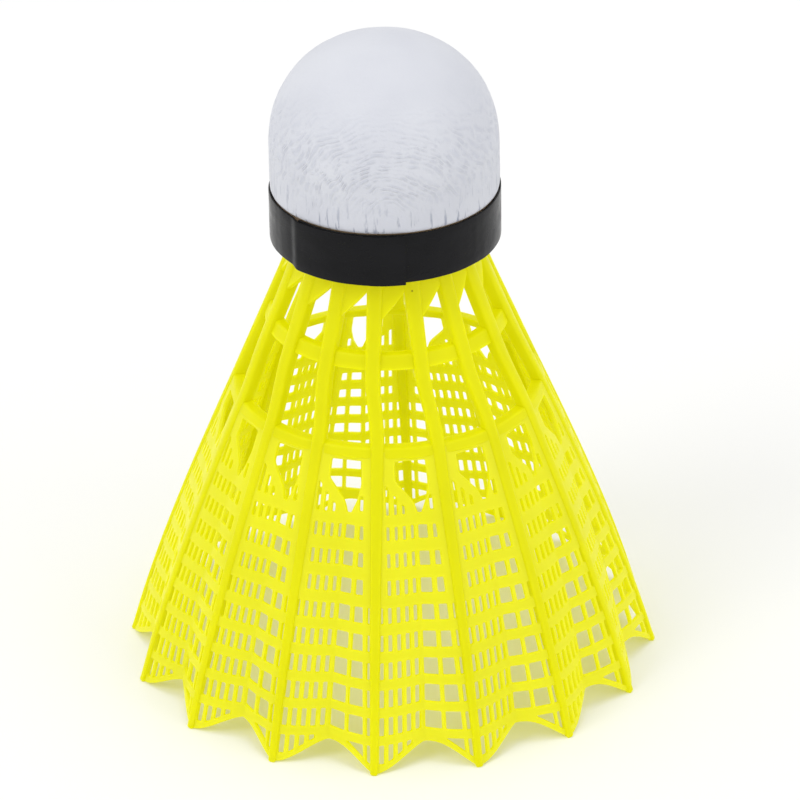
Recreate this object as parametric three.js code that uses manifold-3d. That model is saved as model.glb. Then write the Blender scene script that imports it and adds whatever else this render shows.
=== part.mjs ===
// Badminton shuttlecock with a moulded nylon skirt, standing on the tips of its skirt with its nose up.
// Millimetres, +Z up. The origin is the centre of the circle through the tips, and +Z runs to the nose.
// Rib 0 lies over the -Y axis. Angles grow from there towards +X, and one pitch is one rib to the next.

import * as THREE from 'three';
import { mergeVertices } from 'three/addons/utils/BufferGeometryUtils.js';
import Module from 'manifold-3d';

const wasm = await Module();
wasm.setup();

// ---- driving dimensions -------------------------------------------------------------------

const GAP = 0.3; // between one piece and the next, where the real ones are glued
const OVERLAP = 0.2; // how far features of one moulding run into each other

const head = {
  radius: 13.3,
  baseZ: 54,
  noseZ: 78.1,
  shoulderZ: 65,
  squareness: 2.2, // 2 makes the dome an ellipse, and more makes it squarer
};
const tape = { height: 6, thickness: 0.25, lapAngle: 57, lapEndAngle: 13.7, rampAngle: 4 };
const cover = { thickness: 1.0, fullness: 0.1, swellHeight: 0.7 };
const bore = { radius: 7.1, depth: 12.6 };

const AXIS = new THREE.Vector3(0, 0, 1);
const RIBS = 16;
const PITCH = (2 * Math.PI) / RIBS;
const skirt = {
  neckRadius: 10.55, // outside of the ribs at the head
  tipRadius: 31.5, // outside of the ribs at the floor
  bow: 0.92, // how far the ribs bulge out from a straight line
  thickness: 0.45,
};
const rib = {
  topWidth: 1.9,
  tipWidth: 0.9,
  topDepth: 2.05,
  tipDepth: 0.9,
  ridge: 0.25,
};
const upperHoop = { bottomZ: 43.3, topZ: 45.0, depth: 1.2, behindRibs: 0.7 };
const lowerHoop = { bottomZ: 34.2, topZ: 35.4, depth: 1.4, behindRibs: 0.3 };
const LEAN = THREE.MathUtils.degToRad(2.6); // how far the ribs turn back between the two hoops
const vane = {
  topZ: 35,
  inset: 0.25, // the vane's outside lies this far behind the ribs' faces
  topPleat: 0.4, // depth of the fold between two ribs, at the lower hoop
  tipPleat: 2.4, // and at the tips
  pleatPower: 2.4, // how much of the deepening is near the tips
  topFold: 0.57, // place of the fold along the pitch, at the lower hoop
  tipFold: 0.5, // and at the tips
  valleyHeight: 2.7, // height of the scalloped edge between two tips
  valleyPlace: 0.58,
};
const neck = { bottomZ: 48.2, inset: 0.35, thickness: 1.0 };
const flange = { thickness: 1.4, radius: 9.9 };
const stem = {
  radius: 6.5,
  barbRadius: 6.8,
  boreRadius: 5.4,
  height: 12.0, // above the head's flat base
  endThickness: 1.2,
  barbs: 3,
};

// ---- materials ----------------------------------------------------------------------------

const materials = {
  cover: new THREE.MeshStandardMaterial({ color: 0xe4e5ea, roughness: 0.6, metalness: 0 }),
  tape: new THREE.MeshStandardMaterial({ color: 0x1b1b20, roughness: 0.25, metalness: 0 }),
  cork: new THREE.MeshStandardMaterial({ color: 0xb98b5c, roughness: 0.9, metalness: 0 }),
  nylon: new THREE.MeshStandardMaterial({ color: 0xe4e60a, roughness: 0.4, metalness: 0 }),
};

// ---- joining and cutting ------------------------------------------------------------------

function solidOf(geometry) {
  const shell = geometry.clone();
  shell.deleteAttribute('normal');
  shell.deleteAttribute('uv');
  const merged = mergeVertices(shell, 1e-4);
  const mesh = new wasm.Mesh({
    numProp: 3,
    vertProperties: new Float32Array(merged.attributes.position.array),
    triVerts: new Uint32Array(merged.index.array),
  });
  return new wasm.Manifold(mesh);
}

function geometryOf(solid) {
  const mesh = solid.getMesh();
  const geometry = new THREE.BufferGeometry();
  geometry.setAttribute('position', new THREE.BufferAttribute(mesh.vertProperties, 3));
  geometry.setIndex(new THREE.BufferAttribute(mesh.triVerts, 1));
  geometry.computeVertexNormals();
  return geometry;
}

function join(geometries) {
  return geometries.map(solidOf).reduce((whole, piece) => whole.add(piece));
}

function aroundTheAxis(geometry) {
  return Array.from({ length: RIBS }, (_, i) => geometry.clone().rotateZ(i * PITCH));
}

// ---- shapes -------------------------------------------------------------------------------

// A ring or dome about Z. The profile holds [radius, z] pairs, upwards on its outer side.
function turned(profile, segments) {
  const points = profile.map(([radius, z]) => new THREE.Vector2(radius, z));
  return new THREE.LatheGeometry(points, segments).rotateX(Math.PI / 2);
}

// A straight-sided solid that points away from the axis over one angle.
// The outline holds [place along the pitch, z] pairs and is drawn at outlineRadius.
function radialPrism(outline, outlineRadius, innerRadius, outerRadius) {
  const shape = new THREE.Shape(
    outline.map(([place, z]) => new THREE.Vector2(outlineRadius * Math.tan((place - 0.5) * PITCH), z)),
  );
  const depth = outerRadius - innerRadius;
  const prism = new THREE.ExtrudeGeometry(shape, { depth, bevelEnabled: false });
  return prism.rotateX(Math.PI / 2).translate(0, -innerRadius, 0).rotateZ(PITCH / 2);
}

// Radius of the ribs' outer faces at height z.
function flareRadius(z) {
  const drop = (head.baseZ - z) / head.baseZ;
  const straight = THREE.MathUtils.lerp(skirt.neckRadius, skirt.tipRadius, drop);
  const bulge = 6.75 * drop * drop * (1 - drop); // reaches 1 two thirds of the way down
  return straight + skirt.bow * bulge;
}

// ---- head ---------------------------------------------------------------------------------

// Outside of a domed body that is headRadius wide up to the shoulder, from the shoulder to the top.
function domeProfile(headRadius, topZ, steps) {
  const height = topZ - head.shoulderZ;
  const power = 2 / head.squareness;
  return Array.from({ length: steps + 1 }, (_, i) => {
    const angle = (i / steps) * (Math.PI / 2);
    const radius = i === steps ? 0 : headRadius * Math.cos(angle) ** power;
    return [radius, head.shoulderZ + height * Math.sin(angle) ** power];
  });
}

// The skin is thinner where the tape presses it, so the tape lies flush with the bulge above it.
function headCover() {
  const outerRadius = head.radius - cover.fullness;
  const pressedRadius = head.radius - tape.thickness - GAP;
  const innerRadius = outerRadius - cover.thickness;
  const tapeTop = head.baseZ + tape.height;
  const outside = [
    [pressedRadius, head.baseZ + GAP],
    [pressedRadius, tapeTop],
    [outerRadius - cover.fullness, tapeTop + cover.swellHeight / 2],
    [outerRadius, tapeTop + cover.swellHeight],
    ...domeProfile(outerRadius, head.noseZ, 14),
  ];
  const inside = domeProfile(innerRadius, head.noseZ - cover.thickness, 12).reverse();
  return turned([...outside, ...inside, [innerRadius, head.baseZ + GAP], outside[0]], 72);
}

function corkCore() {
  const radius = head.radius - cover.fullness - cover.thickness - GAP;
  const outside = domeProfile(radius, head.noseZ - cover.thickness - GAP, 12);
  return turned(
    [
      [0, head.baseZ + bore.depth],
      [bore.radius, head.baseZ + bore.depth],
      [bore.radius, head.baseZ],
      [radius, head.baseZ],
      ...outside,
    ],
    64,
  );
}

// One turn of tape. Its end lies over its start, so the outside is one thickness higher on the lap
// and steps down at the end.
function bandTape() {
  const innerRadius = head.radius - tape.thickness;
  const lapEnd = THREE.MathUtils.degToRad(tape.lapEndAngle);
  const lap = THREE.MathUtils.degToRad(tape.lapAngle);
  const ramp = THREE.MathUtils.degToRad(tape.rampAngle);
  const segments = 96;
  const outline = Array.from({ length: segments + 1 }, (_, i) => {
    const behind = (1 - i / segments) * 2 * Math.PI; // angle back from the tape's end
    const onLap = THREE.MathUtils.clamp((lap + ramp - behind) / ramp, 0, 1);
    const radius = head.radius + tape.thickness * onLap;
    const angle = lapEnd - behind;
    return new THREE.Vector2(radius * Math.sin(angle), -radius * Math.cos(angle));
  });
  const shape = new THREE.Shape(outline);
  const hole = new THREE.Path();
  hole.absarc(0, 0, innerRadius, 0, 2 * Math.PI, true);
  shape.holes.push(hole);
  const strip = new THREE.ExtrudeGeometry(shape, {
    depth: tape.height,
    bevelEnabled: false,
    curveSegments: 48,
  });
  return strip.translate(0, 0, head.baseZ);
}

// ---- skirt --------------------------------------------------------------------------------

// A tapering bar with a low ridge along its outer face, from the floor up to the flange.
function ribBar() {
  const topZ = head.baseZ - GAP;
  const bar = new THREE.BoxGeometry(1, 1, 1, 2, 1, 7);
  const position = bar.attributes.position;
  for (let i = 0; i < position.count; i += 1) {
    const across = position.getX(i);
    const inward = position.getY(i) + 0.5;
    const up = position.getZ(i) + 0.5;
    const z = up * topZ;
    const width = THREE.MathUtils.lerp(rib.tipWidth, rib.topWidth, up);
    const depth = THREE.MathUtils.lerp(rib.tipDepth, rib.topDepth, up);
    const shoulder = rib.ridge * Math.abs(2 * across) * (1 - inward);
    position.setXYZ(i, across * width, inward * depth + shoulder - flareRadius(z), z);
  }
  return bar;
}

// Height of the scalloped lower edge at a place along the pitch: 0 at both ribs.
function edgeHeight(place) {
  const { valleyPlace, valleyHeight } = vane;
  if (place < valleyPlace) {
    return valleyHeight * Math.sin((Math.PI / 2) * (place / valleyPlace)) ** 1.8;
  }
  return valleyHeight * Math.sin((Math.PI / 2) * ((1 - place) / (1 - valleyPlace))) ** 1.2;
}

// How far the vane lies behind the ribs' faces: nothing at the ribs, the pleat's depth at the fold.
function pleatDepth(place, z) {
  const up = z / vane.topZ;
  const fold = THREE.MathUtils.lerp(vane.tipFold, vane.topFold, up);
  const depth = THREE.MathUtils.lerp(vane.topPleat, vane.tipPleat, Math.max(1 - up, 0) ** vane.pleatPower);
  const towardsFold = place < fold ? place / fold : (1 - place) / (1 - fold);
  return depth * towardsFold ** 1.35;
}

// The ring of 16 vanes. Each is domed over a rib, and two of them meet in a sharp fold.
function vaneRing() {
  const rows = 5;
  const cellsPerFlank = 3;
  const cells = 2 * cellsPerFlank;
  const profile = [];
  for (let j = 0; j <= rows; j += 1) profile.push([2, j]);
  for (let j = rows; j >= 0; j -= 1) profile.push([1, j]);
  profile.push([2, 0]);
  const ring = turned(profile, RIBS * cells);
  const position = ring.attributes.position;
  for (let i = 0; i < position.count; i += 1) {
    const column = Math.floor(i / profile.length);
    const [side, row] = profile[i % profile.length];
    const cell = column % cells;
    const onFirstFlank = cell <= cellsPerFlank;
    const alongFlank = onFirstFlank ? cell / cellsPerFlank : (cells - cell) / cellsPerFlank;
    const fold = THREE.MathUtils.lerp(vane.tipFold, vane.topFold, row / rows);
    const place = onFirstFlank ? alongFlank * fold : 1 - alongFlank * (1 - fold);
    const z = THREE.MathUtils.lerp(edgeHeight(place), vane.topZ, row / rows);
    const outside = flareRadius(z) - vane.inset - pleatDepth(place, z);
    const radius = side === 2 ? outside : outside - skirt.thickness;
    const angle = (Math.floor(column / cells) + place) * PITCH;
    position.setXYZ(i, radius * Math.sin(angle), -radius * Math.cos(angle), z);
  }
  return ring;
}

// The gap under the lower hoop, narrowing down the fold.
function vaneOpening() {
  const top = lowerHoop.bottomZ - 0.4;
  const outline = [
    [0.28, top],
    [0.28, 31.9],
    [0.54, 29.6],
    [0.58, 28.4],
    [0.63, 28.4],
    [0.71, 29.8],
    [0.76, 31.6],
    [0.75, top],
  ];
  const middleRadius = flareRadius(31.5);
  return radialPrism(outline, middleRadius, middleRadius - 5, middleRadius + 4);
}

function hoop({ bottomZ, topZ, depth, behindRibs }) {
  const bottom = flareRadius(bottomZ) - behindRibs;
  const top = flareRadius(topZ) - behindRibs;
  return turned(
    [
      [bottom - depth, bottomZ],
      [bottom, bottomZ],
      [top, topZ],
      [top - depth, topZ],
      [bottom - depth, bottomZ],
    ],
    RIBS * 3,
  );
}

// The short cone that joins the ribs below the flange, before its windows are cut.
function neckCone() {
  const topZ = head.baseZ - GAP - OVERLAP;
  const bottom = flareRadius(neck.bottomZ) - neck.inset;
  const top = flareRadius(topZ) - neck.inset;
  return turned(
    [
      [bottom - neck.thickness, neck.bottomZ],
      [bottom, neck.bottomZ],
      [top, topZ],
      [top - neck.thickness, topZ],
      [bottom - neck.thickness, neck.bottomZ],
    ],
    RIBS * 3,
  );
}

// Each window's top slopes, so a web is left in one corner.
function neckWindow() {
  const below = neck.bottomZ - 1;
  const outline = [
    [0.08, below],
    [0.92, below],
    [0.92, 51.8],
    [0.85, 51.8],
    [0.12, 48.4],
    [0.08, 48.4],
  ];
  const middleRadius = flareRadius(51);
  return radialPrism(outline, middleRadius, middleRadius - 3, middleRadius + 3);
}

// The flange under the cork and the hollow stem that is glued into the cork's bore.
function flangeAndStem() {
  const flangeTop = head.baseZ - GAP;
  const flangeBottom = flangeTop - flange.thickness;
  const stemTop = head.baseZ + stem.height;
  const barbPitch = (stemTop - flangeTop) / (stem.barbs + 1);
  const barbs = [];
  for (let i = 1; i <= stem.barbs; i += 1) {
    const z = flangeTop + i * barbPitch;
    barbs.push([stem.radius, z - 0.9], [stem.barbRadius, z - 0.3], [stem.barbRadius, z], [stem.radius, z + 0.2]);
  }
  return turned(
    [
      [stem.boreRadius, flangeBottom],
      [flange.radius, flangeBottom],
      [flange.radius, flangeTop],
      [stem.radius, flangeTop],
      ...barbs,
      [stem.radius, stemTop],
      [0, stemTop],
      [0, stemTop - stem.endThickness],
      [stem.boreRadius, stemTop - stem.endThickness],
      [stem.boreRadius, flangeBottom],
    ],
    36,
  );
}

// Above the lower hoop the ribs lean to one side, and run straight again above the upper one.
function leaned(geometry) {
  const position = geometry.attributes.position;
  const point = new THREE.Vector3();
  for (let i = 0; i < position.count; i += 1) {
    point.fromBufferAttribute(position, i);
    const angle = -LEAN * THREE.MathUtils.smoothstep(point.z, lowerHoop.topZ, upperHoop.bottomZ);
    point.applyAxisAngle(AXIS, angle);
    position.setXYZ(i, point.x, point.y, point.z);
  }
  geometry.computeVertexNormals();
  return geometry;
}

function skirtMoulding() {
  const vanes = solidOf(vaneRing()).subtract(join(aroundTheAxis(vaneOpening())));
  const neckWall = solidOf(neckCone()).subtract(join(aroundTheAxis(neckWindow())));
  const frame = join([flangeAndStem(), hoop(upperHoop), hoop(lowerHoop), ...aroundTheAxis(ribBar())]);
  return leaned(geometryOf(frame.add(neckWall).add(vanes)));
}

// ---- assembly -----------------------------------------------------------------------------

function piece(name, geometry, material) {
  const mesh = new THREE.Mesh(geometry, material);
  mesh.name = name;
  return mesh;
}

const shuttlecock = new THREE.Group();
shuttlecock.add(
  piece('head_cover', headCover(), materials.cover),
  piece('cork_core', corkCore(), materials.cork),
  piece('band_tape', bandTape(), materials.tape),
  piece('skirt', skirtMoulding(), materials.nylon),
);

export default shuttlecock;
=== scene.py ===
# Blender 4.5 scene of a badminton shuttlecock: nylon skirt, cork head, leathercloth cover, tape band.
# Shapes are worked out in millimetres, about the shuttlecock's axis, and become metres in make_object.
# Rib 0 lies over the -Y axis, angles grow towards +X, and "place" is a fraction of the way to the next rib.

import math

import bmesh
import bpy
from mathutils import Euler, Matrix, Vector, noise
from mathutils.geometry import delaunay_2d_cdt


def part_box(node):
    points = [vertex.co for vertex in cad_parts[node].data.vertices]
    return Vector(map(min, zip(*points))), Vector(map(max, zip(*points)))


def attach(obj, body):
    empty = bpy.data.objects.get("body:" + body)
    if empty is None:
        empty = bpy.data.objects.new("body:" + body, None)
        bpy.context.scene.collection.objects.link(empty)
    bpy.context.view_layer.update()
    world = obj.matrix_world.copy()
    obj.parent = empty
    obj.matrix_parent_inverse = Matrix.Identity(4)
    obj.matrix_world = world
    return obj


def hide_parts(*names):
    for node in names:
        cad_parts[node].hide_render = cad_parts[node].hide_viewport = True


MM = 0.001

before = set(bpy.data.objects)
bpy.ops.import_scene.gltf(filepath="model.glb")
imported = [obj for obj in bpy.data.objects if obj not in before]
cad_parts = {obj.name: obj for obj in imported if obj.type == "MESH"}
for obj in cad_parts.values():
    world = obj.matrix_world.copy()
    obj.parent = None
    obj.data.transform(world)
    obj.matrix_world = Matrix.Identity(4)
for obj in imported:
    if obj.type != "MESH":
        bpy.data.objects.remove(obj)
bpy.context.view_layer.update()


def node_box_mm(node):
    low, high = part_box(node)
    return low / MM, high / MM


_, skirt_high = node_box_mm("skirt")
cork_low, cork_high = node_box_mm("cork_core")
_, cover_high = node_box_mm("head_cover")
tape_low, tape_high = node_box_mm("band_tape")

# ---- sizes, in millimetres ---------------------------------------------------------------------

GAP = 0.3  # between pieces, as in the CAD model
HEAD_BASE = cork_low.z
HEAD_RADIUS = cover_high.x + 0.1  # outside of the tape's single layer
NOSE = cover_high.z
SHOULDER = NOSE - 13.1  # here the head's cylinder goes over into its dome
SQUARENESS = 2.2  # 2 makes the dome an ellipse, and more makes it squarer

RIBS = 16
PITCH = 2 * math.pi / RIBS
NECK_RADIUS = 10.55
TIP_RADIUS = skirt_high.x
BOW = 0.92  # the ribs bulge outwards by this much at most
SHEET = 0.5  # thickness of the vanes

RIB_TOP_WIDTH = 1.9
RIB_TIP_WIDTH = 0.9
RIB_TOP_DEPTH = 2.05
RIB_TIP_DEPTH = 0.9

UPPER_HOOP = (43.3, 45.0)  # bottom and top
LOWER_HOOP = (34.2, 35.4)
LEAN = math.radians(2.6)  # how far the ribs turn back between the two hoops

VANE_TOP = 35.0
VANE_INSET = 0.25  # from the ribs' faces to the vanes at the ribs
TOP_PLEAT = 0.4  # depth of the fold at the top and at the tips
TIP_PLEAT = 2.4
PLEAT_POWER = 2.4
TOP_FOLD = 0.57  # place of the fold at the top and at the tips
TIP_FOLD = 0.5
VALLEY_HEIGHT = 2.7  # the scalloped edge is highest here, between two ribs
VALLEY_PLACE = 0.58

NECK_EDGE = (48.4, 51.8)  # lower edge of the neck's webs at its low and its high end
NECK_SLOPE = (0.12, 0.85)  # the places between which that edge rises
WEB_BEHIND = 0.35  # the neck's webs lie this far behind the ribs' faces
WEB_THICKNESS = 0.9
FLANGE_RADIUS = 9.9
FLANGE_THICKNESS = 1.4
STEM_RADIUS = 6.5
STEM_BORE_RADIUS = 5.4
STEM_END = 1.2  # thickness of the stem's closed top
BARBS = 3
BARB_RADIUS = 6.8

COVER_THICKNESS = 1.0
CORK_BORE_RADIUS = 7.1
CORK_BORE_DEPTH = 12.6
TAPE_THICKNESS = 0.25
TAPE_LAP = math.radians(57)
TAPE_END = math.radians(13.7)
TAPE_RAMP = math.radians(6)  # the tape climbs over its own start in this angle
LAP_DROP = (0.22, 0.08)  # the lap's lower and upper edges sit this much below the start's

PAINTED_GLOW = 0.29  # emission strength of a steady painted glow on the nylon, which lightens its shade and stands in for the dye's fluorescence
SURROUND = 0.78  # strength of the white surround


# ---- materials ---------------------------------------------------------------------------------


def srgb(red, green, blue):
    """Linear colour from 0 to 255 screen values."""

    def linear(value):
        value /= 255
        return value / 12.92 if value <= 0.04045 else ((value + 0.055) / 1.055) ** 2.4

    return (linear(red), linear(green), linear(blue), 1)


class Material:
    """A node material with short calls for its nodes and links."""

    def __init__(self, name):
        self.material = bpy.data.materials.new(name)
        self.material.use_nodes = True
        self.nodes = self.material.node_tree.nodes
        self.shader = self.nodes["Principled BSDF"]

    def set(self, **values):
        for socket, value in values.items():
            self.shader.inputs[socket.replace("_", " ")].default_value = value

    def link(self, source, target):
        self.material.node_tree.links.new(source, target)

    def node(self, kind, **values):
        """A new node with some inputs set. An underscore stands for a space in an input's name."""
        made = self.nodes.new(kind)
        for socket, value in values.items():
            made.inputs[socket.replace("_", " ")].default_value = value
        return made

    def position(self, stretch=(1, 1, 1), moved=(0, 0, 0)):
        """The place on the object in mm, stretched and then moved."""
        coordinates = self.node("ShaderNodeTexCoord")
        scale = [factor / MM for factor in stretch]
        mapping = self.node("ShaderNodeMapping", Scale=scale, Location=moved)
        self.link(coordinates.outputs["Object"], mapping.inputs["Vector"])
        return mapping.outputs["Vector"]

    def noise(self, scale, detail=3, stretch=(1, 1, 1), roughness=0.5):
        made = self.node("ShaderNodeTexNoise", Scale=scale, Detail=detail, Roughness=roughness)
        self.link(self.position(stretch), made.inputs["Vector"])
        return made.outputs["Fac"]

    def cells(self, scale, stretch=(1, 1, 1)):
        """Distance from the middle of the nearest cell."""
        made = self.node("ShaderNodeTexVoronoi", Scale=scale)
        self.link(self.position(stretch), made.inputs["Vector"])
        return made.outputs["Distance"]

    def ramp(self, source, *stops):
        made = self.node("ShaderNodeValToRGB")
        elements = made.color_ramp.elements
        while len(elements) < len(stops):
            elements.new(0.5)
        for element, (place, colour) in zip(elements, stops):
            element.position = place
            element.color = colour
        self.link(source, made.inputs["Fac"])
        return made.outputs["Color"]

    def mix(self, factor, first, second, blend="MIX"):
        made = self.node("ShaderNodeMix")
        made.data_type = "RGBA"
        made.blend_type = blend
        # Inputs 6 and 7 and output 2 are the node's colours. Input 0 is its factor.
        for value, index in ((factor, 0), (first, 6), (second, 7)):
            if hasattr(value, "is_linked"):
                self.link(value, made.inputs[index])
            else:
                made.inputs[index].default_value = value
        return made.outputs[2]

    def range(self, source, low, high, from_low=0.0, from_high=1.0):
        """The source with the span from_low to from_high stretched to low to high, and clamped."""
        limits = {"From_Min": from_low, "From_Max": from_high, "To_Min": low, "To_Max": high}
        made = self.node("ShaderNodeMapRange", **limits)
        self.link(source, made.inputs["Value"])
        return made.outputs["Result"]

    def height(self, low, high):
        """0 below the level low and 1 above high, or the other way round if low is the higher one."""
        split = self.node("ShaderNodeSeparateXYZ")
        self.link(self.position(), split.inputs["Vector"])
        return self.range(split.outputs["Z"], 0, 1, low, high)

    def times(self, first, second):
        made = self.node("ShaderNodeMath")
        made.operation = "MULTIPLY"
        self.link(first, made.inputs[0])
        self.link(second, made.inputs[1])
        return made.outputs["Value"]

    def ridges(self, period, centre, swirl, swirl_size):
        """Ridges in rings about a point of the XZ plane, bent by a low noise. All sizes are in mm."""
        scale = math.pi / 10 / period  # at a scale of 1 the node's rings are pi / 10 apart
        made = self.node("ShaderNodeTexWave", Scale=scale, Distortion=swirl, Detail=1)
        made.wave_type = "RINGS"
        made.rings_direction = "Y"
        made.inputs["Detail Scale"].default_value = 1 / (swirl_size * scale)
        made.inputs["Detail Roughness"].default_value = 0.4
        self.link(self.position(moved=(-centre[0], 0, -centre[1])), made.inputs["Vector"])
        return made.outputs["Fac"]

    def bump(self, *layers):
        """Each layer is (height, distance in mm)."""
        normal = None
        for height, distance in layers:
            made = self.node("ShaderNodeBump", Strength=1, Distance=distance * MM)
            self.link(height, made.inputs["Height"])
            if normal:
                self.link(normal, made.inputs["Normal"])
            normal = made.outputs["Normal"]
        self.link(normal, self.shader.inputs["Normal"])

    def colour(self, source):
        self.link(source, self.shader.inputs["Base Color"])

    def rough(self, source):
        self.link(source, self.shader.inputs["Roughness"])


def nylon_material(name, shine):
    """Fluorescent yellow nylon with a few dark specks, and a steady painted glow that lightens its shade."""
    m = Material(name)
    cloud = m.noise(0.12, detail=2)
    tint = m.ramp(cloud, (0.3, srgb(188, 186, 2)), (0.7, srgb(195, 193, 6)))
    speck = m.cells(0.16)
    dirt = m.ramp(speck, (0.014, srgb(80, 66, 30)), (0.024, (1, 1, 1, 1)))
    m.colour(m.mix(1.0, tint, dirt, blend="MULTIPLY"))
    m.rough(m.range(m.noise(0.8, detail=4), 0.36, 0.52))
    m.bump((m.noise(2.2, detail=3), 0.02), (m.noise(0.35, detail=2), 0.06))
    m.set(IOR=1.5, Specular_IOR_Level=shine)
    m.set(Subsurface_Weight=0.8, Subsurface_Scale=2.2 * MM, Subsurface_Radius=(1.0, 1.0, 0.2))
    # Painted glow: a steady emission that lightens the nylon's shade. It stands in for the dye's
    # fluorescence, which gives back a little more light than falls on it.
    m.set(Emission_Color=srgb(238, 236, 0), Emission_Strength=PAINTED_GLOW)
    return m.material


def cover_material():
    """White leathercloth: swirling fine ridges, smooth over the nose, with short creases by the tape. The
    ridges and the creases also carry painted shade in their colour.
    """
    m = Material("cover_leathercloth")
    white = (1, 1, 1, 1)
    cloud = m.noise(0.1, detail=2)
    tint = m.ramp(cloud, (0.35, srgb(209, 211, 219)), (0.65, srgb(215, 217, 224)))

    below_nose = m.height(NOSE - 3.5, NOSE - 9)
    above_tape = m.height(tape_high.z + 1, tape_high.z + 5)
    ridges = m.ridges(period=0.52, centre=(1.5, HEAD_BASE + 7.5), swirl=9, swirl_size=2.4)
    broken = m.range(m.noise(0.9, detail=3), 0, 1, 0.38, 0.6)
    ridge = m.times(m.times(ridges, broken), m.times(below_nose, above_tape))
    # Painted shade: the ridges are darkened a little, so their relief shows under the soft light.
    ridge_painted_shade = m.ramp(ridge, (0.0, white), (1.0, srgb(245, 246, 249)))

    near_tape = m.height(tape_high.z + 4.5, tape_high.z + 0.5)
    lines = m.noise(1.5, detail=3, stretch=(1.7, 1.7, 0.22), roughness=0.6)
    crease = m.times(m.range(lines, 0, 1, 0.58, 0.68), near_tape)
    # Painted shade: the creases by the tape are darkened, as shade lies in them.
    crease_painted_shade = m.ramp(crease, (0.0, white), (1.0, srgb(198, 202, 213)))
    lower_part = m.height(tape_high.z + 8, tape_high.z)
    low_shade = m.ramp(lower_part, (0.0, white), (1.0, srgb(247, 247, 248)))

    cloth_edge = m.height(tape_high.z + 0.2, tape_high.z + 0.1)
    body = tint
    for layer in (ridge_painted_shade, crease_painted_shade, low_shade):
        body = m.mix(1.0, body, layer, blend="MULTIPLY")
    m.colour(m.mix(cloth_edge, body, srgb(196, 170, 138)))
    m.rough(m.range(m.noise(1.5, detail=3), 0.5, 0.66))
    m.bump((ridge, 0.1), (m.noise(3.2, detail=4), 0.03), (m.range(crease, 1, 0), 0.05))
    m.set(IOR=1.46, Specular_IOR_Level=0.4, Sheen_Weight=0.08)
    return m.material


def tape_material():
    m = Material("tape_black_gloss")
    smear = m.noise(0.25, detail=3, stretch=(1, 1, 2))
    m.colour(m.ramp(smear, (0.3, srgb(11, 11, 13)), (0.7, srgb(17, 17, 20))))
    m.rough(m.range(smear, 0.2, 0.34, 0.3, 0.7))
    m.bump((m.noise(0.3, detail=2), 0.1), (m.noise(2.5, detail=3), 0.008))
    m.set(IOR=1.45, Specular_IOR_Level=0.17)
    return m.material


def cork_material():
    m = Material("cork_natural")
    grain = m.cells(0.9, stretch=(1, 1, 0.6))
    cell = m.ramp(grain, (0.0, srgb(150, 108, 66)), (0.6, srgb(205, 163, 112)))
    pits = m.noise(0.45, detail=5, stretch=(1, 1, 0.4), roughness=0.65)
    dark = m.ramp(pits, (0.36, srgb(88, 56, 32)), (0.43, (1, 1, 1, 1)))
    m.colour(m.mix(0.9, cell, dark, blend="MULTIPLY"))
    m.rough(m.range(pits, 0.95, 0.75))
    m.bump((m.range(pits, 0, 1, 0.34, 0.46), 0.25), (grain, 0.08), (m.noise(4, detail=4), 0.03))
    m.set(IOR=1.4)
    return m.material


def floor_material():
    m = Material("floor_pale")
    m.colour(m.ramp(m.noise(0.004, detail=2), (0.4, (0.95, 0.95, 0.95, 1)), (0.6, (0.97, 0.97, 0.97, 1))))
    m.rough(m.range(m.noise(0.05, detail=2), 0.75, 0.85))
    return m.material


# ---- mesh helpers ------------------------------------------------------------------------------


def lerp(low, high, t):
    return low + (high - low) * t


def around(radius, angle, z):
    return Vector((radius * math.sin(angle), -radius * math.cos(angle), z))


def make_object(name, vertices, faces, material, node, smooth_angle, merge=0.0):
    """One piece of the visual model. Edges that turn by more than smooth_angle degrees stay sharp."""
    mesh = bpy.data.meshes.new(name)
    mesh.from_pydata([v * MM for v in vertices], [], faces)
    made = bmesh.new()
    made.from_mesh(mesh)
    if merge:
        bmesh.ops.remove_doubles(made, verts=made.verts, dist=merge * MM)
    bmesh.ops.recalc_face_normals(made, faces=made.faces)
    limit = math.radians(smooth_angle)
    for edge in made.edges:
        edge.smooth = not edge.is_manifold or edge.calc_face_angle(0) < limit
    for face in made.faces:
        face.smooth = True
    made.to_mesh(mesh)
    made.free()
    piece = bpy.data.objects.new(name, mesh)
    bpy.context.scene.collection.objects.link(piece)
    mesh.materials.append(material)
    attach(piece, "root")
    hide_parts(node)
    return piece


def grid_faces(columns, rows, closed_columns, closed_rows):
    """Quads of a grid whose vertex (column, row) has the number column * rows + row."""
    faces = []
    for i in range(columns if closed_columns else columns - 1):
        for j in range(rows if closed_rows else rows - 1):
            a = i * rows + j
            b = ((i + 1) % columns) * rows + j
            c = ((i + 1) % columns) * rows + (j + 1) % rows
            d = i * rows + (j + 1) % rows
            faces.append((a, b, c, d))
    return faces


def turned(profile, segments, closed=True):
    """A ring about the axis from a closed loop of (radius, z)."""
    vertices = [
        around(radius, 2 * math.pi * i / segments, z) for i in range(segments) for radius, z in profile
    ]
    return vertices, grid_faces(segments, len(profile), True, closed)


def rounded(corners, radius, steps=4):
    """A closed loop of 2D points with its corners rounded. A corner may carry its own radius."""
    loop = []
    count = len(corners)
    for i, corner in enumerate(corners):
        here = Vector(corner[:2])
        before = Vector(corners[i - 1][:2]) - here
        after = Vector(corners[(i + 1) % count][:2]) - here
        own = corner[2] if len(corner) > 2 else radius
        reach_before = min(own, before.length * 0.45)
        reach_after = min(own, after.length * 0.45)
        start = here + before.normalized() * reach_before
        end = here + after.normalized() * reach_after
        for k in range(steps):
            t = k / (steps - 1)
            loop.append(start * (1 - t) ** 2 + here * 2 * t * (1 - t) + end * t * t)
    return loop


def area(loop):
    total = 0.0
    for i, point in enumerate(loop):
        total += loop[i - 1][0] * point[1] - point[0] * loop[i - 1][1]
    return total / 2


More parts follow.
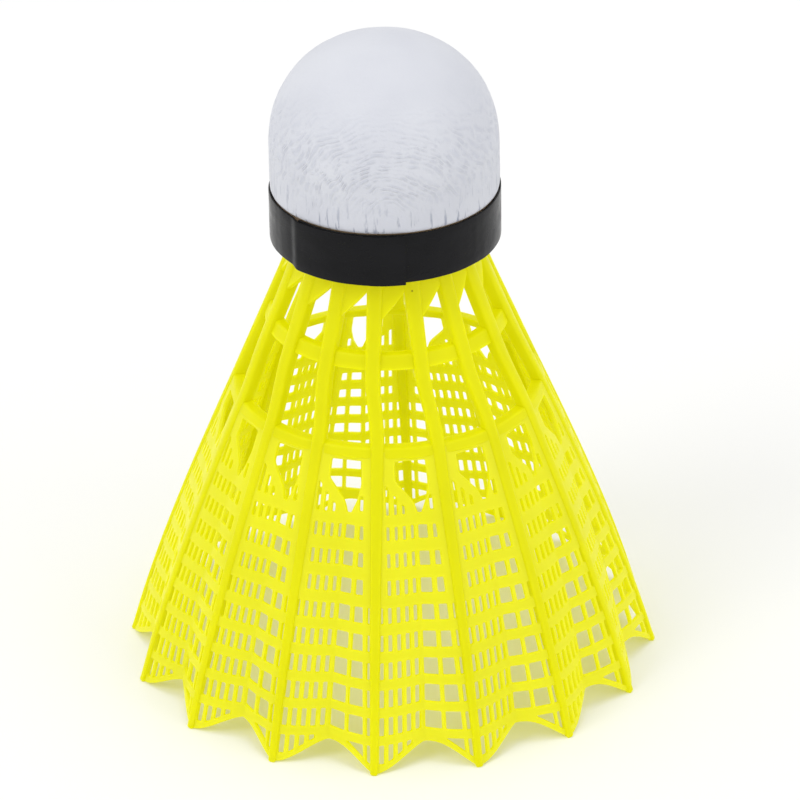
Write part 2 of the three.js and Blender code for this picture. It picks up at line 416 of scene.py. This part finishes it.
def offset(loop, distance):
    """Moves each point of a counter-clockwise loop outwards."""
    moved = []
    count = len(loop)
    for i, point in enumerate(loop):
        along = (loop[(i + 1) % count] - loop[i - 1]).normalized()
        moved.append(point + Vector((along.y, -along.x)) * distance)
    return moved


def clip(polygon, start, end):
    """The part of a polygon that lies to the left of the line from start to end."""
    line = Vector(end) - Vector(start)

    def side(point):
        return line.x * (point[1] - start[1]) - line.y * (point[0] - start[0])

    kept = []
    for i, point in enumerate(polygon):
        before = polygon[i - 1]
        if (side(before) > 0) != (side(point) > 0):
            t = side(before) / (side(before) - side(point))
            kept.append((lerp(before[0], point[0], t), lerp(before[1], point[1], t)))
        if side(point) > 0:
            kept.append((point[0], point[1]))
    return kept


# ---- skirt -------------------------------------------------------------------------------------


def flare(z):
    """Radius of the ribs' outer faces."""
    drop = (HEAD_BASE - z) / HEAD_BASE
    bulge = 6.75 * drop * drop * (1 - drop)  # 1 at its largest
    return lerp(NECK_RADIUS, TIP_RADIUS, drop) + BOW * bulge


def rib_width(z):
    return lerp(RIB_TIP_WIDTH, RIB_TOP_WIDTH, z / HEAD_BASE)


def rib_depth(z):
    return lerp(RIB_TIP_DEPTH, RIB_TOP_DEPTH, z / HEAD_BASE)


def fold_place(z):
    return lerp(TIP_FOLD, TOP_FOLD, z / VANE_TOP)


def pitch_length(z):
    return PITCH * flare(z)


def edge_height(place):
    """Height of the scalloped lower edge of the vanes."""
    if place < VALLEY_PLACE:
        return VALLEY_HEIGHT * math.sin(math.pi / 2 * max(place, 0) / VALLEY_PLACE) ** 1.8
    return VALLEY_HEIGHT * math.sin(math.pi / 2 * max(1 - place, 0) / (1 - VALLEY_PLACE)) ** 1.2


def vane_surface(place, z):
    """Outer surface of the vanes."""
    fold = fold_place(z)
    depth = lerp(TOP_PLEAT, TIP_PLEAT, max(1 - z / VANE_TOP, 0) ** PLEAT_POWER)
    to_fold = place / fold if place < fold else (1 - place) / (1 - fold)
    radius = flare(z) - VANE_INSET - depth * max(to_fold, 0) ** 1.35
    return around(radius, place * PITCH, z)


def vane_point(place, z, behind):
    """A point a given distance behind the outer surface."""
    across = vane_surface(min(place + 0.02, 1.02), z) - vane_surface(place - 0.02, z)
    if place < 0.02 or place > 0.98:
        across = around(1, place * PITCH + math.pi / 2, 0)
    down = vane_surface(place, z - 0.2) - vane_surface(place, z + 0.2)
    inward = across.cross(down).normalized()
    if inward.dot(around(1, place * PITCH, 0)) > 0:
        inward = -inward
    return vane_surface(place, z) + inward * behind


# A vane's flat pattern is drawn in (x, z), where x is the distance from the fold: negative on the
# flank that comes down from rib 0, positive on the flank that rises to the next rib.


def pattern_x(place, z):
    return (place - fold_place(z)) * pitch_length(z)


def pattern_place(x, z):
    return fold_place(z) + x / pitch_length(z)


ROWS = 10
FIRST_ROW = 26.35  # middle of row 1, the first row of short holes
ROW_PITCH = 2.86
PITCH_GROWTH = 0.02  # the rows lie further apart towards the tips
ROW_HEIGHT = 1.4
HEIGHT_GROWTH = 0.085
NARROW_COLUMNS = 7
BORDER = 0.85  # solid strip along the scalloped edge
RIB_MARGIN = 0.1  # between a hole and the side of a rib
SMALLEST_WIDTH = 0.22  # a hole that comes out smaller stays closed
SMALLEST_HEIGHT = 0.6
SMALLEST_AREA = 0.2
SLOT_TOP = 32.4  # the slots' tops fall from here at rib 0 by SLOT_FALL in one pitch
SLOT_FALL = 8.3
CHAMFER = 0.12
CORNER = 0.12  # radius of the holes' corners
FOLD_STEPS = 70
FILL_COLUMNS = 14  # loose points that even out the triangles between the holes
FILL_ROWS = 26


def row_levels(row):
    """Bottom and top of a row of holes. Row 0 holds the long slots, and the rows go downwards."""
    below = row - 1
    middle = FIRST_ROW - ROW_PITCH * below - PITCH_GROWTH * below * below
    height = ROW_HEIGHT + HEIGHT_GROWTH * below
    return middle - height / 2, middle + height / 2


def narrow_column(index, row):
    """Left and right sides of a narrow column of holes, as functions of z."""
    half = (0.27 + 0.03 * row) / 2

    def middle(z):
        return -((0.78 - 0.0105 * z) + index * (1.13 - 0.0062 * z))

    return (lambda z: middle(z) - half), (lambda z: middle(z) + half)


def wide_columns():
    """Left and right sides of the three wider columns beyond the fold, as functions of z."""
    first = (lambda z: 0.10 + 0.0026 * z), (lambda z: 2.15 - 0.036 * z)
    second = (lambda z: 2.64 - 0.028 * z), (lambda z: 4.77 - 0.094 * z)
    third = (lambda z: 5.27 - 0.084 * z), (lambda z: 5.80 - 0.084 * z)
    return [first, second, third]


def clip_to_web(quad):
    """Keeps a hole clear of both ribs and of the scalloped edge."""
    top = max(z for _, z in quad)
    bottom = min(z for _, z in quad)
    left = min(x for x, _ in quad)
    right = max(x for x, _ in quad)

    def beside_rib(place, z):
        clear = rib_width(z) / 2 + RIB_MARGIN
        return pattern_x(place, z) + (clear if place == 0 else -clear)

    quad = clip(quad, (beside_rib(0, top), top), (beside_rib(0, bottom), bottom))
    quad = clip(quad, (beside_rib(1, bottom), bottom), (beside_rib(1, top), top))
    edge_left = edge_height(pattern_place(left, bottom)) + BORDER
    edge_right = edge_height(pattern_place(right, bottom)) + BORDER
    return clip(quad, (left, edge_left), (right, edge_right))


def hole_loops():
    """Every hole of one vane, as rounded loops in the flat pattern."""
    loops = []
    for row in range(ROWS):
        bottom, top = row_levels(row)
        columns = [narrow_column(i, row) for i in range(NARROW_COLUMNS)]
        if row > 0:
            columns += wide_columns()
        for left, right in columns:
            if row == 0:
                quad = slot_quad(left, right)
            else:
                quad = [(left(bottom), bottom), (right(bottom), bottom), (right(top), top), (left(top), top)]
            quad = clip_to_web(quad) if quad else []
            if large_enough(quad):
                loops.append(rounded(without_doubles(quad), CORNER))
    single_slot = [(1.68, 28.7), (2.03, 28.7), (1.93, 30.2), (1.6, 30.2)]  # beside the opening
    loops.append(rounded(single_slot, CORNER))
    loops.append(opening_loop())
    return loops


def large_enough(polygon):
    if not polygon or area(polygon) < SMALLEST_AREA:
        return False
    width = max(x for x, _ in polygon) - min(x for x, _ in polygon)
    height = max(z for _, z in polygon) - min(z for _, z in polygon)
    return width >= SMALLEST_WIDTH and height >= SMALLEST_HEIGHT


def without_doubles(polygon):
    """The polygon without corners that nearly coincide with the one before."""
    return [p for i, p in enumerate(polygon) if (Vector(p) - Vector(polygon[i - 1])).length > 0.06]


def slot_quad(left, right):
    """A longer slot of the top row. The tops of these slots follow the opening's slope."""
    bottom = row_levels(0)[0] - 0.2

    def top(x):
        return SLOT_TOP - SLOT_FALL * pattern_place(x, 30)

    x_left, x_right = left(bottom), right(bottom)
    if top(x_right) < bottom + SMALLEST_HEIGHT:
        return None
    return [
        (x_left, bottom),
        (x_right, bottom),
        (right(top(x_right)), top(x_right)),
        (left(top(x_left)), top(x_left)),
    ]


def opening_loop():
    """The large opening under the lower hoop."""
    top = LOWER_HOOP[0] - 0.3
    corners = [
        (0.58, 28.4, 0.1),
        (0.63, 28.4, 0.1),
        (0.71, 29.8, 0.4),
        (0.76, 31.6, 0.5),
        (0.75, top, 0.15),
        (0.28, top, 0.15),
        (0.28, 31.9, 0.25),
        (0.54, 29.6, 0.5),
    ]
    return rounded([(pattern_x(place, z), z, r) for place, z, r in corners], 0.2, steps=6)


def vane_outline(steps_across, steps_up):
    """The outer loop of one vane's flat pattern, counter-clockwise, with the kind of each point."""
    bottom = [i / steps_across for i in range(steps_across + 1)]
    heights = [VANE_TOP * j / steps_up for j in range(1, steps_up)]
    loop = [(place, edge_height(place), "bottom") for place in bottom]
    loop += [(1.0, z, "side") for z in heights]
    loop += [(place, VANE_TOP, "top") for place in reversed(bottom)]
    loop += [(0.0, z, "side") for z in reversed(heights)]
    return loop


def pattern_points(outline, holes):
    """The flat pattern's points, and its loops and its fold as numbers of those points."""
    points = []
    for place, z, kind in outline:
        z += CHAMFER if kind == "bottom" else 0
        points.append(Vector((pattern_x(place, z), z)))
    loops = [list(range(len(points)))]
    for hole in holes:
        start = len(points)
        points += offset(hole, CHAMFER)
        loops.append(list(range(start, len(points))))

    def clear_of_holes(point, margin):
        return not any(inside(point, hole, margin) for hole in holes)

    fold = []
    fold_foot = edge_height(fold_place(VALLEY_HEIGHT)) + CHAMFER
    for j in range(1, FOLD_STEPS):
        point = Vector((0, lerp(fold_foot, VANE_TOP, j / FOLD_STEPS)))
        if clear_of_holes(point, 0.2):
            fold.append(len(points))
            points.append(point)
    for i in range(1, FILL_COLUMNS):
        for j in range(1, FILL_ROWS):
            place, z = i / FILL_COLUMNS, VANE_TOP * j / FILL_ROWS
            point = Vector((pattern_x(place, z), z))
            clear_of_edges = z > edge_height(place) + 0.5 and abs(point.x) > 0.2
            if clear_of_edges and clear_of_holes(point, 0.3):
                points.append(point)
    return points, loops, fold


def triangulated(points, loops, fold):
    """The pattern's points and triangles, and the number that each given point has among them."""
    edges = [(loop[i - 1], loop[i]) for loop in loops for i in range(len(loop))]
    edges += [(a, b) for a, b in zip(fold, fold[1:]) if (points[a] - points[b]).length < 0.8]
    flat, _, triangles, sources, _, _ = delaunay_2d_cdt(points, edges, [], 0, 1e-6)
    outer, *holes = [[points[i] for i in loop] for loop in loops]
    kept = []
    for triangle in triangles:
        centre = sum((flat[i] for i in triangle), Vector((0, 0))) / 3
        if inside(centre, outer, 0) and not any(inside(centre, hole, 0) for hole in holes):
            kept.append(tuple(triangle))
    number = {i: index for index, source in enumerate(sources) for i in source}
    return flat, kept, number


def vane_parts():
    """Vertices and faces of one vane, from rib 0 to the next."""
    outline = vane_outline(steps_across=44, steps_up=24)
    holes = hole_loops()
    points, loops, fold = pattern_points(outline, holes)
    flat, triangles, number = triangulated(points, loops, fold)
    count = len(flat)
    vertices = []
    for behind in (0.0, SHEET):
        vertices += [vane_point(pattern_place(p.x, p.y), p.y, behind) for p in flat]
    faces = triangles + [tuple(count + i for i in reversed(t)) for t in triangles]
    # Every cut edge gets a ridge halfway through the sheet, which gives it a chamfer on both sides.
    ridges = [[(Vector((pattern_x(place, z), z)), kind) for place, z, kind in outline]]
    ridges += [[(point, "hole") for point in hole] for hole in holes]
    for loop, ridge in zip(loops, ridges):
        start = len(vertices)
        vertices += [vane_point(pattern_place(p.x, p.y), p.y, SHEET / 2) for p, _ in ridge]
        for i in range(len(loop)):
            before = i - 1 if i else len(loop) - 1
            kinds = {ridge[before][1], ridge[i][1]}
            if "side" in kinds or len(kinds) > 1:
                continue
            front = number[loop[before]], number[loop[i]]
            middle = start + before, start + i
            faces.append((front[0], middle[0], middle[1], front[1]))
            faces.append((middle[0], count + front[0], count + front[1], middle[1]))
    for vertex in vertices:
        vertex.z = max(vertex.z, 0.0)
    return vertices, faces


def inside(point, loop, margin):
    """True if the point lies in the loop, or within the margin of one of the loop's points."""
    if margin:
        xs = [p[0] for p in loop]
        zs = [p[1] for p in loop]
        if not (min(xs) - margin < point[0] < max(xs) + margin):
            return False
        if not (min(zs) - margin < point[1] < max(zs) + margin):
            return False
        if any((Vector(p) - point).length < margin for p in loop):
            return True
    hit = False
    for i, b in enumerate(loop):
        a = loop[i - 1]
        if (a[1] > point[1]) != (b[1] > point[1]):
            if point[0] < a[0] + (b[0] - a[0]) * (point[1] - a[1]) / (b[1] - a[1]):
                hit = not hit
    return hit


def leaned(vertices):
    """Turns each vertex back by the ribs' lean between the two hoops."""
    turned_back = []
    for vertex in vertices:
        up = min(max((vertex.z - LOWER_HOOP[1]) / (UPPER_HOOP[0] - LOWER_HOOP[1]), 0), 1)
        angle = -LEAN * up * up * (3 - 2 * up)
        turned_back.append(Euler((0, 0, angle)).to_matrix() @ vertex)
    return turned_back


def repeated(vertices, faces):
    """The same shape turned to every rib."""
    all_vertices, all_faces = [], []
    for k in range(RIBS):
        turn = Euler((0, 0, k * PITCH)).to_matrix()
        start = len(all_vertices)
        all_vertices += [turn @ v for v in vertices]
        all_faces += [tuple(start + i for i in face) for face in faces]
    return all_vertices, all_faces


def skirt_vanes(material):
    vertices, faces = repeated(*vane_parts())
    return make_object("skirt_vanes", vertices, faces, material, "skirt", 50, merge=0.002)


def rib_section(z):
    """Outline of a rib at height z as (across, outward), with a soft ridge along its outer face."""
    points = 20
    half = rib_width(z) / 2
    ridge = 0.55 * half
    depth = rib_depth(z) - ridge
    section = []
    for i in range(points):
        angle = 2 * math.pi * i / points
        cos, sin = math.cos(angle), math.sin(angle)
        across = half * math.copysign(abs(cos) ** 0.55, cos)
        reach, power = (ridge, 1.15) if sin > 0 else (depth, 0.5)
        section.append((across, math.copysign(abs(sin) ** power, sin) * reach - ridge))
    return section


def skirt_ribs(material):
    steps = 48
    top = HEAD_BASE - GAP - 0.1
    rings = []
    for j in range(steps + 1):
        z = top * (j / steps)
        rings.append([around(flare(z) + out, 0, z) + Vector((x, 0, 0)) for x, out in rib_section(z)])
    low_end = [p.lerp(sum(rings[0], Vector()) / len(rings[0]), 0.25) for p in rings[0]]
    for point in low_end:
        point.z = 0.0
    for point in rings[0]:
        point.z = 0.22
    rings.insert(0, low_end)
    count = len(rings[0])
    vertices = [p for ring in rings for p in ring]
    faces = grid_faces(len(rings), count, False, True)
    faces.append(tuple(reversed(range(count))))
    faces.append(tuple(range(len(vertices) - count, len(vertices))))
    vertices, faces = repeated(leaned(vertices), faces)
    return make_object("skirt_ribs", vertices, faces, material, "skirt", 60)


def hoop(name, levels, behind_ribs, depth, material):
    """A hoop set back behind the ribs' faces, whose outer face slopes as they do."""
    bottom, top = levels
    corners = [
        (flare(bottom) - behind_ribs - depth, bottom),
        (flare(bottom) - behind_ribs, bottom),
        (flare(top) - behind_ribs, top),
        (flare(top) - behind_ribs - depth, top),
    ]
    loop = rounded(corners, 0.28, steps=5)
    vertices, faces = turned(loop, 192)
    return make_object(name, vertices, faces, material, "skirt", 50)


def neck_edge(place):
    """Lower edge of the web between two ribs, below the flange."""
    start, end = NECK_SLOPE
    return lerp(*NECK_EDGE, min(max((place - start) / (end - start), 0), 1))


def skirt_neck(material):
    """The sloping webs between the ribs under the flange."""
    across, up = 16, 4
    rows = 2 * up + 3
    top = HEAD_BASE - GAP - 0.4
    vertices = []
    for i in range(RIBS * across):
        place = (i % across) / across
        low = neck_edge(place)
        if place == 0:
            low = lerp(*NECK_EDGE, 0.5)  # the edge steps back down behind the rib
        angle = PITCH * i / across
        front = [lerp(low + 0.25, top, j / up) for j in range(up + 1)]
        vertices += [around(flare(z) - WEB_BEHIND, angle, z) for z in front]
        vertices += [around(flare(z) - WEB_BEHIND - WEB_THICKNESS, angle, z) for z in reversed(front)]
        vertices.append(around(flare(low) - WEB_BEHIND - WEB_THICKNESS / 2, angle, low))
    faces = grid_faces(RIBS * across, rows, True, True)
    return make_object("skirt_neck", leaned(vertices), faces, material, "skirt", 50)


def skirt_stem(material):
    """The flange under the cork and the hollow stem in the cork's bore."""
    flange_top = HEAD_BASE - GAP
    flange_bottom = flange_top - FLANGE_THICKNESS
    stem_top = skirt_high.z
    on_axis = 0.001
    corners = [
        (on_axis, stem_top - STEM_END, 0),
        (STEM_BORE_RADIUS, stem_top - STEM_END, 0.5),
        (STEM_BORE_RADIUS, flange_bottom, 0.3),
        (FLANGE_RADIUS, flange_bottom, 0.3),
        (FLANGE_RADIUS, flange_top, 0.2),
        (STEM_RADIUS, flange_top, 0.3),
    ]
    barb_pitch = (stem_top - flange_top) / (BARBS + 1)
    for i in range(1, BARBS + 1):
        z = flange_top + i * barb_pitch
        corners += [(STEM_RADIUS, z - 0.9, 0.1), (BARB_RADIUS, z - 0.3, 0.1)]
        corners += [(BARB_RADIUS, z, 0.1), (STEM_RADIUS, z + 0.2, 0.1)]
    corners += [(STEM_RADIUS, stem_top, 0.4), (on_axis, stem_top, 0)]
    vertices, faces = turned(rounded(corners, 0.2), 128)
    return make_object("skirt_stem", vertices, faces, material, "skirt", 50, merge=0.005)


# ---- head --------------------------------------------------------------------------------------


def dome(radius, top, steps):
    """Half of the head's outline as (radius, z), from the shoulder up to the top on the axis."""
    points = []
    power = 2 / SQUARENESS
    for i in range(steps + 1):
        angle = math.pi / 2 * i / steps
        out, up = max(math.cos(angle), 0) ** power, math.sin(angle) ** power
        points.append((radius * out, SHOULDER + (top - SHOULDER) * up))
    points[-1] = (0.0, top)
    return points


def resampled(points, step):
    """The same polyline with points about one step apart."""
    dense = []
    for a, b in zip(points, points[1:]):
        length = math.dist(a, b)
        pieces = max(1, round(length / step))
        dense += [(lerp(a[0], b[0], k / pieces), lerp(a[1], b[1], k / pieces)) for k in range(pieces)]
    return dense + [points[-1]]


def wrinkle_height(point):
    """Small creases of the stretched cover, in millimetres, densest just above the tape."""
    near_tape = math.exp(-max(point.z - tape_high.z, 0) / 2.5)
    creases = noise.noise(Vector((point.x * 1.1, point.y * 1.1, point.z * 0.28)))
    rings = noise.noise(Vector((point.x * 0.5, point.y * 0.5, point.z * 1.6)))
    soft = noise.noise(point * 0.22)
    return 0.05 * soft + 0.035 * creases * (0.35 + near_tape) + 0.02 * rings


def head_cover(material):
    """The stretched cover, pressed in under the tape and finely wrinkled above it."""
    outer_radius = cover_high.x
    pressed = HEAD_RADIUS - TAPE_THICKNESS - GAP
    inner_radius = outer_radius - COVER_THICKNESS
    tape_top = tape_high.z
    outside = [(pressed, HEAD_BASE + GAP), (pressed, tape_top - 0.3), (pressed + 0.05, tape_top - 0.05)]
    outside += [(outer_radius - 0.14, tape_top + 0.12), (outer_radius - 0.03, tape_top + 0.45)]
    outside += [(outer_radius, tape_top + 0.8)] + dome(outer_radius, NOSE, 40)
    outside = resampled(outside, 0.3)
    underside = list(reversed(dome(inner_radius, NOSE - COVER_THICKNESS, 16)))
    underside += [(inner_radius, HEAD_BASE + GAP)]
    profile = outside + underside
    vertices, faces = turned(profile, 288)
    for i, vertex in enumerate(vertices):
        row = i % len(profile)
        if row < len(outside) - 1 and vertex.z > tape_top + 0.1:
            outward = Vector((vertex.x, vertex.y, max(vertex.z - SHOULDER, 0))).normalized()
            fade = min(1.0, (vertex.z - tape_top) / 0.6)
            vertices[i] = vertex + outward * (wrinkle_height(vertex) - 0.04) * fade
    return make_object("cover_skin", vertices, faces, material, "head_cover", 60, merge=0.003)


def cork_core(material):
    """The cork with its bore. Its flat base round the bore is finely uneven."""
    bore_top = HEAD_BASE + CORK_BORE_DEPTH
    radius = cork_high.x
    corners = [(0.0, bore_top), (CORK_BORE_RADIUS, bore_top), (CORK_BORE_RADIUS, HEAD_BASE + 0.25)]
    corners += [(CORK_BORE_RADIUS + 0.25, HEAD_BASE), (radius - 0.35, HEAD_BASE)]
    corners += [(radius, HEAD_BASE + 0.35)]
    corners += dome(radius, cork_high.z, 24)
    profile = resampled(corners, 0.5)
    vertices, faces = turned(profile, 160, closed=False)
    for vertex in vertices:
        on_base = CORK_BORE_RADIUS + 0.3 < math.hypot(vertex.x, vertex.y) < radius - 0.4
        if on_base and vertex.z < HEAD_BASE + 0.3:
            vertex.z += 0.06 * abs(noise.noise(vertex * 0.9))
    return make_object("cork_body", vertices, faces, material, "cork_core", 60, merge=0.003)


def band_tape(material):
    """One strip, wound once round the head. Its last stretch climbs over its start."""
    low, high = tape_low.z, tape_high.z
    inner = HEAD_RADIUS - TAPE_THICKNESS
    start = TAPE_END - TAPE_LAP
    total = 2 * math.pi + TAPE_LAP
    steps = 420
    vertices = []
    for i in range(steps + 1):
        angle = start + total * i / steps
        on_lap = min(max((angle - (start + 2 * math.pi) + TAPE_RAMP) / TAPE_RAMP, 0), 1)
        on_lap = on_lap * on_lap * (3 - 2 * on_lap)
        ripple = 0.03 * noise.noise(Vector((angle * 3, 0, 0)))
        ripple += 0.012 * noise.noise(Vector((angle * 13, 3, 0)))
        uneven = 0.05 * noise.noise(Vector((angle * 5, 7, 0)))
        back = inner + on_lap * (TAPE_THICKNESS + 0.01)
        front = back + TAPE_THICKNESS + ripple
        bottom = low - LAP_DROP[0] * on_lap + uneven
        top = high - LAP_DROP[1] * on_lap + uneven
        loop = refined(rounded([(back, bottom), (front, bottom), (front, top), (back, top)], 0.09), 6)
        vertices += [around(radius, angle, z) for radius, z in loop]
    count = len(loop)
    faces = grid_faces(steps + 1, count, False, True)
    faces.append(tuple(range(count)))
    faces.append(tuple(reversed(range(len(vertices) - count, len(vertices)))))
    return make_object("tape_strip", vertices, faces, material, "band_tape", 50)


def refined(loop, pieces):
    """The loop with its two long sides cut into shorter ones."""
    dense = []
    for i, point in enumerate(loop):
        following = loop[(i + 1) % len(loop)]
        dense.append(point)
        if (following - point).length > 1:
            dense += [point.lerp(following, k / pieces) for k in range(1, pieces)]
    return dense


# ---- stage, light and camera -------------------------------------------------------------------

CAMERA_TARGET = Vector((1.35, 0, 31.9))
CAMERA_DISTANCE = 554.0
CAMERA_ELEVATION = math.radians(28.5)
CAMERA_AZIMUTH = math.radians(4.2)
CAMERA_ROLL = math.radians(-0.9)
CAMERA_LENS = 213.0


def stage():
    """The pale floor, in metres."""
    size = 3.0
    mesh = bpy.data.meshes.new("floor")
    corners = [(-size, -size, 0), (size, -size, 0), (size, size, 0), (-size, size, 0)]
    mesh.from_pydata(corners, [], [(0, 1, 2, 3)])
    floor = bpy.data.objects.new("floor", mesh)
    bpy.context.scene.collection.objects.link(floor)
    mesh.materials.append(floor_material())


def softbox(name, place, size, power):
    """A round area light that points at the shuttlecock's middle. The power is in watts."""
    light = bpy.data.lights.new(name, "AREA")
    light.shape = "DISK"
    light.size = size
    light.energy = power
    lamp = bpy.data.objects.new(name, light)
    bpy.context.scene.collection.objects.link(lamp)
    lamp.location = place
    aim = Vector((0, 0, 0.04)) - Vector(place)
    lamp.rotation_euler = aim.to_track_quat("-Z", "Y").to_euler()


def lighting():
    """Soft studio light: an even white surround and three round softboxes, placed in metres."""
    world = bpy.data.worlds.new("studio")
    bpy.context.scene.world = world
    world.use_nodes = True
    background = world.node_tree.nodes["Background"]
    background.inputs["Color"].default_value = (1, 1, 1, 1)
    background.inputs["Strength"].default_value = SURROUND
    softbox("key_left", (-0.7, -0.6, 0.9), size=0.6, power=2.9)
    softbox("fill_right", (0.8, -0.5, 0.5), size=0.7, power=1.1)
    softbox("top", (0.0, 0.1, 1.1), size=0.8, power=2.1)
    bpy.context.scene.view_settings.view_transform = "Standard"


def camera():
    """The camera of the photograph's view, placed by its target, its distance and its angles."""
    data = bpy.data.cameras.new("camera")
    data.lens = CAMERA_LENS
    data.sensor_width = 36
    data.clip_start = 0.01
    data.clip_end = 20
    eye = bpy.data.objects.new("camera", data)
    bpy.context.scene.collection.objects.link(eye)
    back = Vector((
        math.sin(CAMERA_AZIMUTH) * math.cos(CAMERA_ELEVATION),
        -math.cos(CAMERA_AZIMUTH) * math.cos(CAMERA_ELEVATION),
        math.sin(CAMERA_ELEVATION),
    ))
    aside = Euler((0, 0, CAMERA_AZIMUTH)).to_matrix() @ Vector((CAMERA_TARGET.x, 0, CAMERA_TARGET.z))
    eye.location = (aside + back * CAMERA_DISTANCE) * MM
    eye.rotation_mode = "QUATERNION"
    look = (-back).to_track_quat("-Z", "Y")
    eye.rotation_quaternion = look @ Euler((0, 0, CAMERA_ROLL)).to_quaternion()
    bpy.context.scene.camera = eye


# ---- the scene ---------------------------------------------------------------------------------

camera()
stage()
lighting()

nylon = nylon_material("nylon_frame", shine=0.13)
skirt_vanes(nylon_material("nylon_net", shine=0.34))
skirt_ribs(nylon)
hoop("skirt_upper_hoop", UPPER_HOOP, behind_ribs=0.7, depth=1.2, material=nylon)
hoop("skirt_lower_hoop", LOWER_HOOP, behind_ribs=0.3, depth=1.4, material=nylon)
skirt_neck(nylon)
skirt_stem(nylon)
head_cover(cover_material())
cork_core(cork_material())
band_tape(tape_material())
